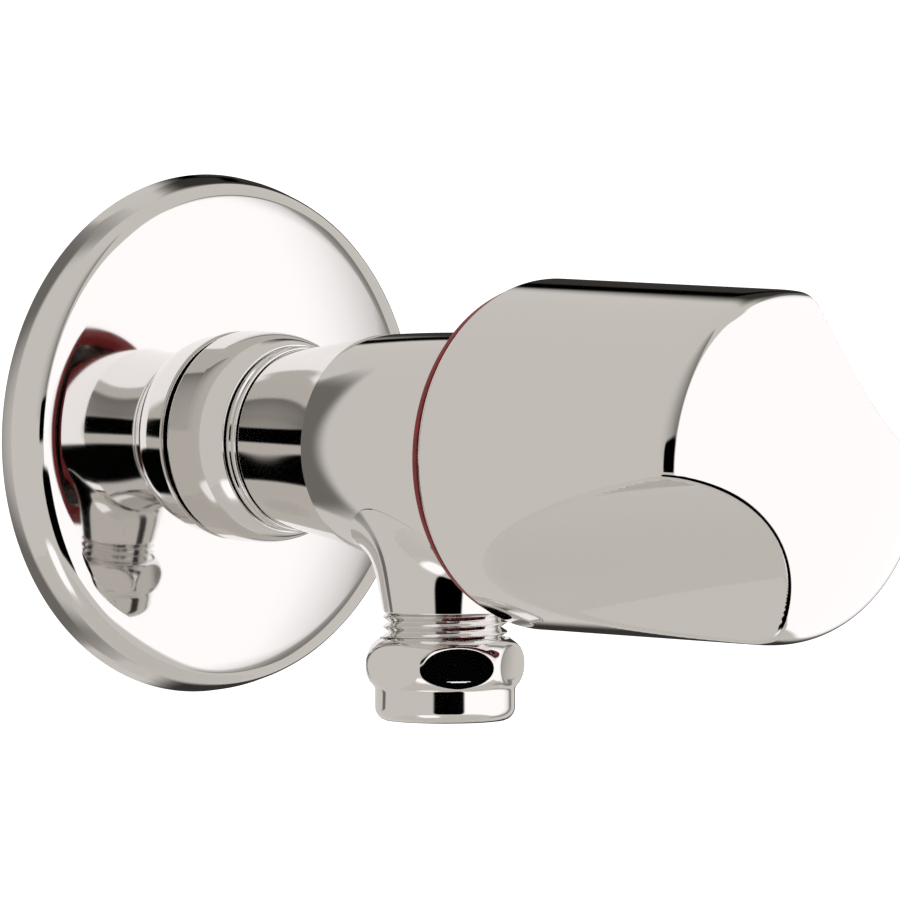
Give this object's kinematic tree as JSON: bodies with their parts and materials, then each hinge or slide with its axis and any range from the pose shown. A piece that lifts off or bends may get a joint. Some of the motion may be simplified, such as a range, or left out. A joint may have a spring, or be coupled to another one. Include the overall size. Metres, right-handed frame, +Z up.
{
  "type": "angle stop valve",
  "caption": "Wall-mounted chromed angle valve: round flange, stepped collar, flared body, downward compression outlet and a domed knob with opposite finger scoops.",
  "frame": {"origin": "where the valve's axis crosses the finished wall, in the plane of the flange's back edge", "axes": "+Z up; +Y along the valve's axis into the wall, so the knob points along -Y; the outlet points along -Z"},
  "size_m": [0.0702, 0.142, 0.0715],
  "materials": {
    "chrome_plate": "mirror-polished chrome plate on brass",
    "turned_brass": "turned, unpolished",
    "stainless_steel": "machined",
    "nitrile_rubber": "moulded, dull",
    "ptfe": "waxy white",
    "fibre": "pressed fibre",
    "white_acetal": "moulded",
    "red_plastic": "moulded, glossy dark red"
  },
  "bodies": {
    "valve": {"valve_body": "chrome_plate", "wall_flange": "chrome_plate", "lock_collar": "chrome_plate", "spacer_ring": "chrome_plate", "inlet_seal_ring": "ptfe", "bonnet": "turned_brass", "bonnet_seal": "fibre"},
    "knob": {"handle": "chrome_plate", "handle_insert": "white_acetal", "insert_screw": "stainless_steel", "hot_ring": "red_plastic", "spindle": "turned_brass", "spindle_o_ring_inner": "nitrile_rubber", "spindle_o_ring_outer": "nitrile_rubber", "spindle_circlip": "stainless_steel", "thrust_washer": "ptfe"},
    "plunger": {"plunger": "turned_brass", "plunger_o_ring": "nitrile_rubber", "seat_washer": "nitrile_rubber", "washer_screw": "stainless_steel"},
    "olive": {"olive": "turned_brass"},
    "outlet_nut": {"outlet_nut": "chrome_plate"}
  },
  "joints": [
    {"name": "knob_turn", "type": "hinge", "parent": "valve", "child": "knob", "pos_m": [0, 0, 0], "axis": [0, -1, 0], "range_deg": [0, 810]},
    {"name": "plunger_slide", "type": "slide", "parent": "valve", "child": "plunger", "axis": [0, -1, 0], "range_m": [0, 0.0045]},
    {"name": "olive_slide", "type": "slide", "parent": "valve", "child": "olive", "axis": [0, 0, -1], "range_m": [0, 0.00402]},
    {"name": "nut_turn", "type": "hinge", "parent": "olive", "child": "outlet_nut", "pos_m": [0, -0.0505, -0.03], "axis": [0, 0, -1], "range_deg": [0, 1080]}
  ],
  "couplings": [
    {"joint": "plunger_slide", "follows": "knob_turn", "m_per_rad": 0.000318},
    {"joint": "olive_slide", "follows": "nut_turn", "m_per_rad": 0.00021279}
  ]
}
